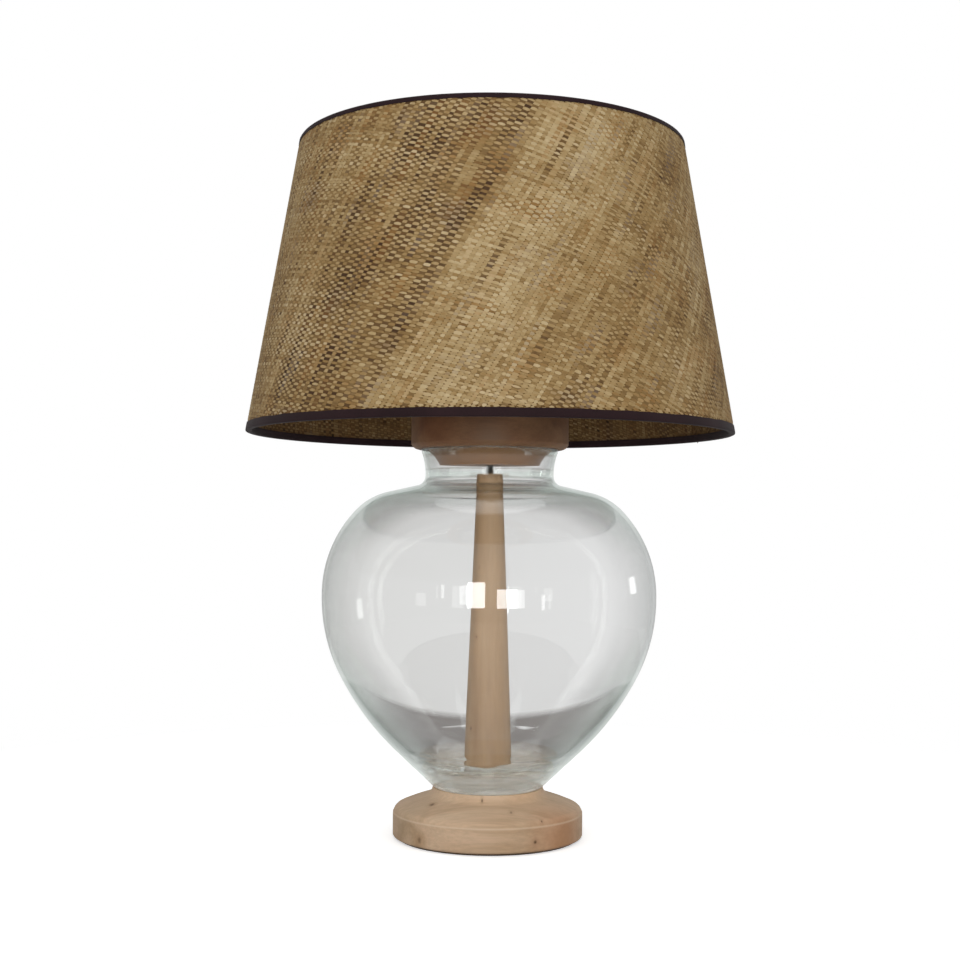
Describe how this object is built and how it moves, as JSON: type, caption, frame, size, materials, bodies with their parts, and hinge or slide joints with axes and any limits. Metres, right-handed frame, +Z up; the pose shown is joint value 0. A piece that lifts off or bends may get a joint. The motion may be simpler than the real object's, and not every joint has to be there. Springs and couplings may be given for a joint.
{
  "type": "bedside lamp",
  "caption": "Table lamp: woven tapered shade on a harp over a clear glass jar with a turned wooden base, stopper and inner column.",
  "frame": {"origin": "centre of the underside of the pad, on the surface the lamp stands on", "axes": "+Z up the lamp's axis, -Y the front with the switch knob, +Y the back with the cord inlet"},
  "size_m": [0.4511, 0.4512, 0.6512],
  "materials": {
    "felt": "short dense pile",
    "turned_wood": "oiled, fine straight grain with small knots",
    "dark_plastic": "moulded, low gloss",
    "dark_steel": "blackened, threaded",
    "clear_rubber": "translucent",
    "jar_glass": "clear blown glass, faint green tint at the edges",
    "bronzed_metal": "dark bronze finish, satin",
    "socket_brass": "bright sheet brass",
    "fibre_liner": "pressed fibre board",
    "phenolic": "moulded, dark brown",
    "plated_thread": "rolled thread",
    "bulb_plastic": "white, smooth",
    "bulb_diffuser": "frosted white",
    "woven_raffia": "woven raffia, mixed straw and brown strands",
    "ring_wire": "painted wire",
    "binding_tape": "dark aubergine binding tape"
  },
  "bodies": {
    "stand": {"base_felt": "felt", "turned_base": "turned_wood", "cord_bush": "dark_plastic", "base_washer": "dark_steel", "top_washer": "dark_steel", "base_nut": "dark_steel", "top_nut": "dark_steel", "lamp_tube": "dark_steel", "base_gasket": "clear_rubber", "foot_gasket": "clear_rubber", "stopper_gasket": "clear_rubber", "glass_jar": "jar_glass", "column": "turned_wood", "jar_stopper": "turned_wood", "harp_saddle": "bronzed_metal", "harp": "bronzed_metal", "harp_stud": "bronzed_metal", "socket_cap": "socket_brass", "socket_shell": "socket_brass", "socket_liner": "fibre_liner", "socket_body": "phenolic", "screw_shell": "plated_thread", "centre_contact": "socket_brass", "terminal_screws": "socket_brass"},
    "shade": {"shade_fabric": "woven_raffia", "bottom_ring": "ring_wire", "top_ring": "ring_wire", "bottom_tape": "binding_tape", "top_tape": "binding_tape", "spider_hub": "bronzed_metal", "spider_arms": "bronzed_metal"},
    "finial": {"finial": "bronzed_metal"},
    "bulb": {"bulb_contact": "plated_thread", "bulb_insulator": "dark_plastic", "bulb_cap": "plated_thread", "bulb_collar": "bulb_plastic", "bulb_globe": "bulb_diffuser"},
    "switch": {"switch_shaft": "dark_steel", "switch_knob": "dark_plastic"},
    "sleeve_left": {"harp_sleeve_left": "bronzed_metal"},
    "sleeve_right": {"harp_sleeve_right": "bronzed_metal"}
  },
  "joints": [
    {"name": "shade_turn", "type": "hinge", "parent": "stand", "child": "shade", "pos_m": [0, 0, 0.6256], "axis": [0, 0, 1], "continuous": true},
    {"name": "finial_lift", "type": "slide", "parent": "stand", "child": "finial", "axis": [0, 0, 1], "range_m": [0, 0.014]},
    {"name": "bulb_lift", "type": "slide", "parent": "stand", "child": "bulb", "axis": [0, 0, 1], "range_m": [0, 0.025]},
    {"name": "switch_turn", "type": "hinge", "parent": "stand", "child": "switch", "pos_m": [0, -0.0174, 0.4306], "axis": [0, -1, 0], "continuous": true},
    {"name": "sleeve_left_lift", "type": "slide", "parent": "stand", "child": "sleeve_left", "axis": [0, 0, 1], "range_m": [0, 0.01]},
    {"name": "sleeve_right_lift", "type": "slide", "parent": "stand", "child": "sleeve_right", "axis": [0, 0, 1], "range_m": [0, 0.01]}
  ]
}
